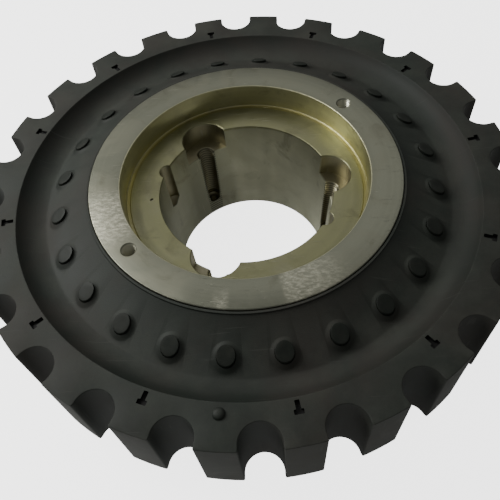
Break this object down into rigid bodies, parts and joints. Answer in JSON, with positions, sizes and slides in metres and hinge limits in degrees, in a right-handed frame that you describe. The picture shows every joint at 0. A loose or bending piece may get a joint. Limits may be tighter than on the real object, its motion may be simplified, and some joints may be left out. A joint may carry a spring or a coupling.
{
  "type": "timing belt pulley",
  "caption": "Wide toothed belt pulley: a black moulded toothed ring on a steel hub with a stepped face and a tapered bore for a locking bush.",
  "frame": {"origin": "on the bore axis, at the hub's lower face", "axes": "+Z along the bore axis, from the small end of the taper to the face that the bush goes in from; a gullet between two teeth is centred on +X"},
  "size_m": [0.4388, 0.4388, 0.124],
  "materials": {
    "machined_steel": "turned bright, satin, lightly scratched",
    "plate_steel": "bare plate, satin",
    "black_moulding": "moulded, matt, dusty, worn at the tooth edges",
    "black_pin": "black, satin"
  },
  "bodies": {
    "root": {"taper_hub": "machined_steel", "core_disc": "plate_steel", "toothed_ring": "black_moulding", "drive_pin_01": "black_pin", "drive_pin_02": "black_pin", "drive_pin_03": "black_pin", "drive_pin_04": "black_pin", "drive_pin_05": "black_pin", "drive_pin_06": "black_pin", "drive_pin_07": "black_pin", "drive_pin_08": "black_pin", "drive_pin_09": "black_pin", "drive_pin_10": "black_pin", "drive_pin_11": "black_pin", "drive_pin_12": "black_pin", "drive_pin_13": "black_pin", "drive_pin_14": "black_pin", "drive_pin_15": "black_pin", "drive_pin_16": "black_pin", "drive_pin_17": "black_pin", "drive_pin_18": "black_pin", "drive_pin_19": "black_pin", "drive_pin_20": "black_pin", "drive_pin_21": "black_pin", "drive_pin_22": "black_pin", "drive_pin_23": "black_pin", "drive_pin_24": "black_pin"}
  },
  "joints": []
}
